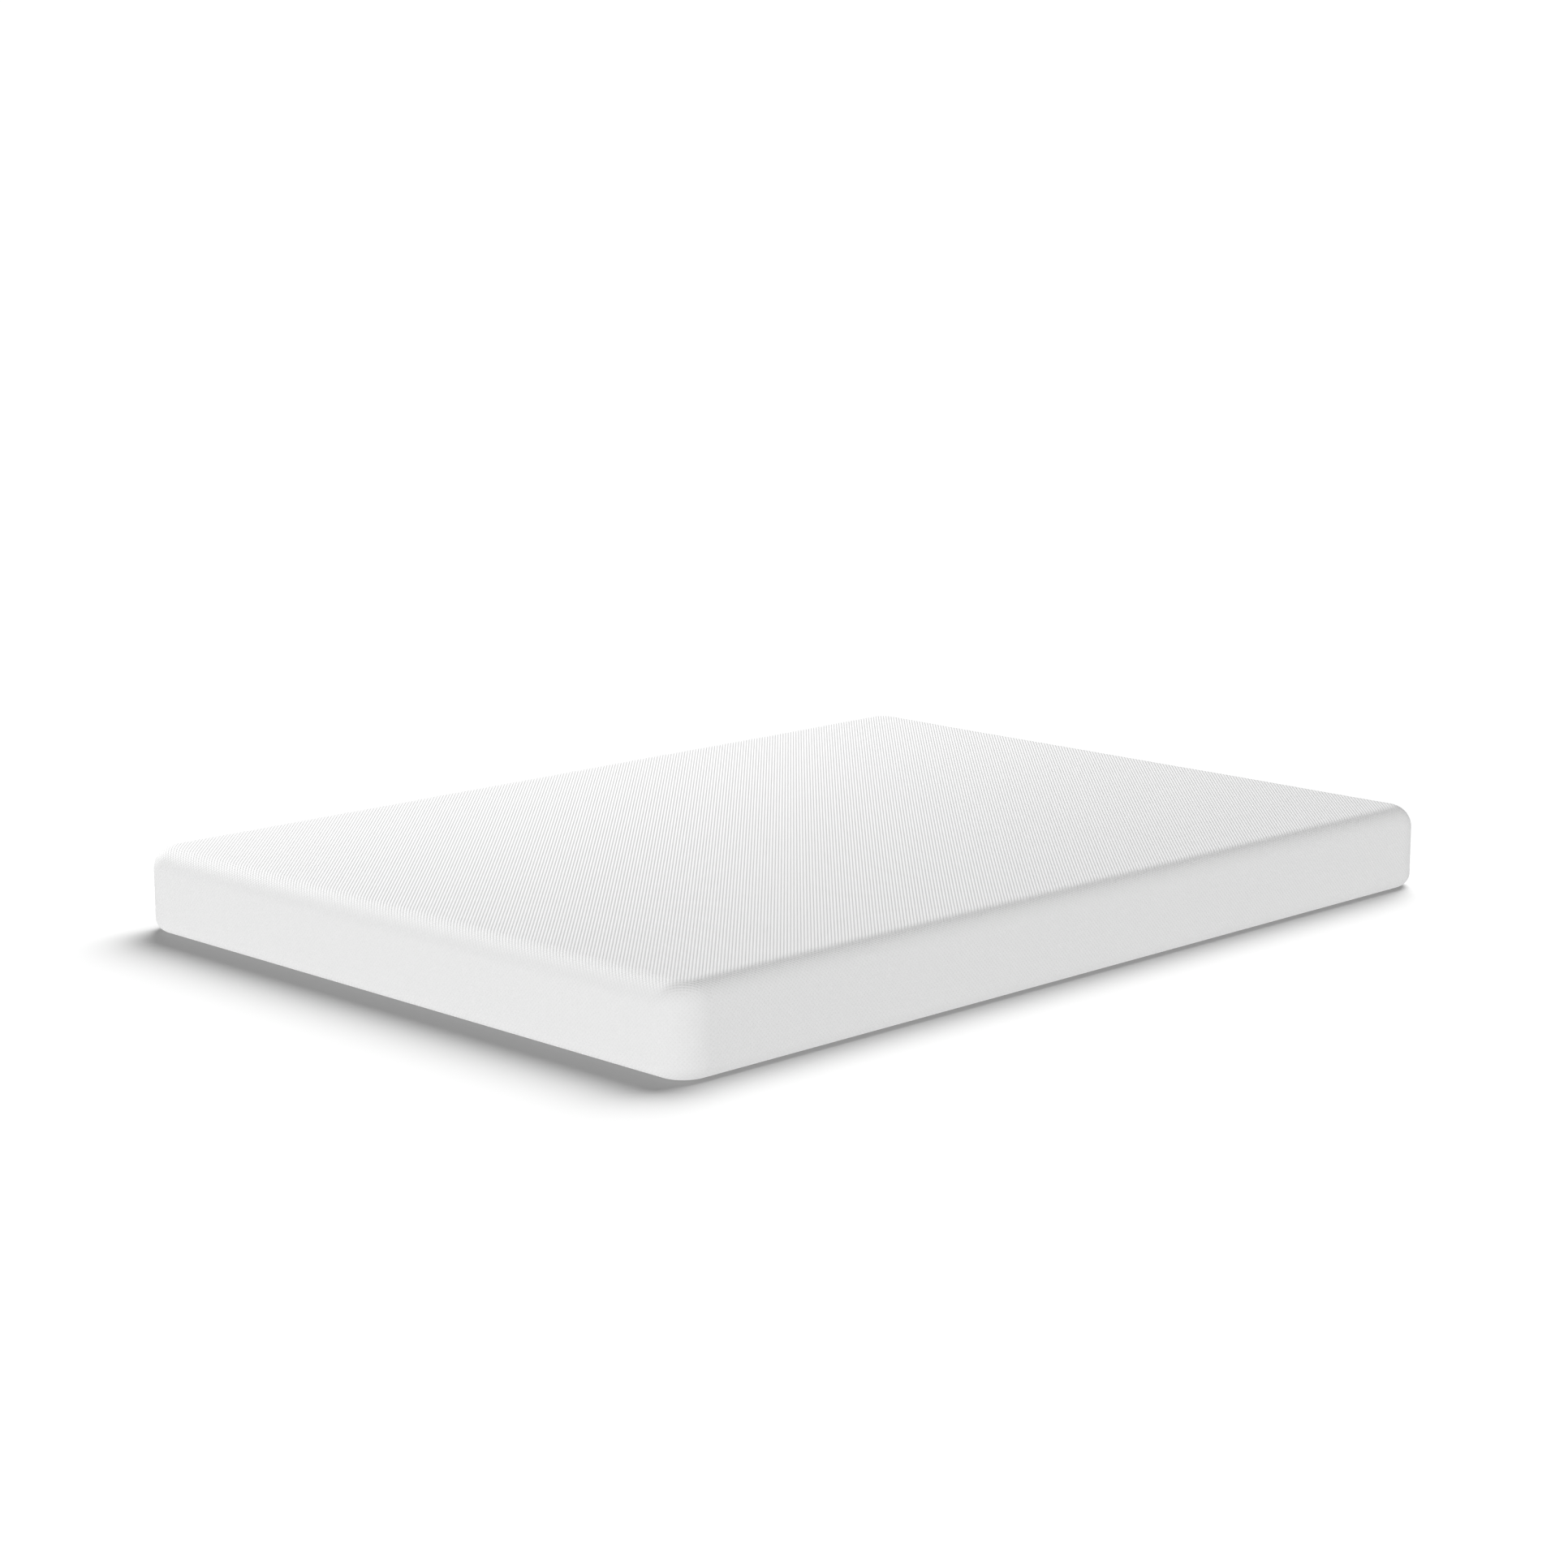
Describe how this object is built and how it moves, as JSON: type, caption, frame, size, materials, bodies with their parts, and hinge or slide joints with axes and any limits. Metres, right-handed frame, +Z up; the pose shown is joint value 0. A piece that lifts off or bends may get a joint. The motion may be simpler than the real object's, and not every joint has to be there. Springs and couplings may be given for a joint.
{
  "type": "memory foam mattress",
  "caption": "Double memory foam mattress in a soft-edged white mesh-knit cover, with layered foam inside and a zip across its head end.",
  "frame": {"origin": "centre of the underside, on the surface that the mattress lies on", "axes": "+Z up out of the sleeping surface, +Y along the length towards the head end with the zip, +X across the width"},
  "size_m": [1.38, 1.8846, 0.152],
  "materials": {
    "cover_knit": "matte",
    "base_cloth": "matte",
    "seam_thread": "satin",
    "sock_knit": "matte",
    "memory_foam": "matte",
    "transition_foam": "matte",
    "support_foam": "matte",
    "zip_tape": "matte",
    "zip_coil": "satin",
    "zip_metal": "satin",
    "label_cloth": "satin"
  },
  "bodies": {
    "mattress": {"knit_cover": "cover_knit", "base_panel": "base_cloth", "underside_seam": "seam_thread", "fire_sock": "sock_knit", "memory_foam": "memory_foam", "transition_foam": "transition_foam", "support_core": "support_foam", "zip_tape_upper": "zip_tape", "zip_tape_lower": "zip_tape", "zip_coil_upper": "zip_coil", "zip_coil_lower": "zip_coil", "zip_top_stops": "zip_metal", "zip_bottom_stop": "zip_metal", "care_label": "label_cloth", "law_label": "label_cloth"},
    "zip_slider": {"zip_slider": "zip_metal"},
    "zip_pull": {"zip_pull": "zip_metal"}
  },
  "joints": [
    {"name": "zip_slide", "type": "slide", "parent": "mattress", "child": "zip_slider", "axis": [1, 0, 0], "range_m": [0, 1.2004]},
    {"name": "pull_hinge", "type": "hinge", "parent": "zip_slider", "child": "zip_pull", "pos_m": [-0.6002, 0.94255, 0.07], "axis": [0, 0, 1], "range_deg": [0, 180]}
  ]
}
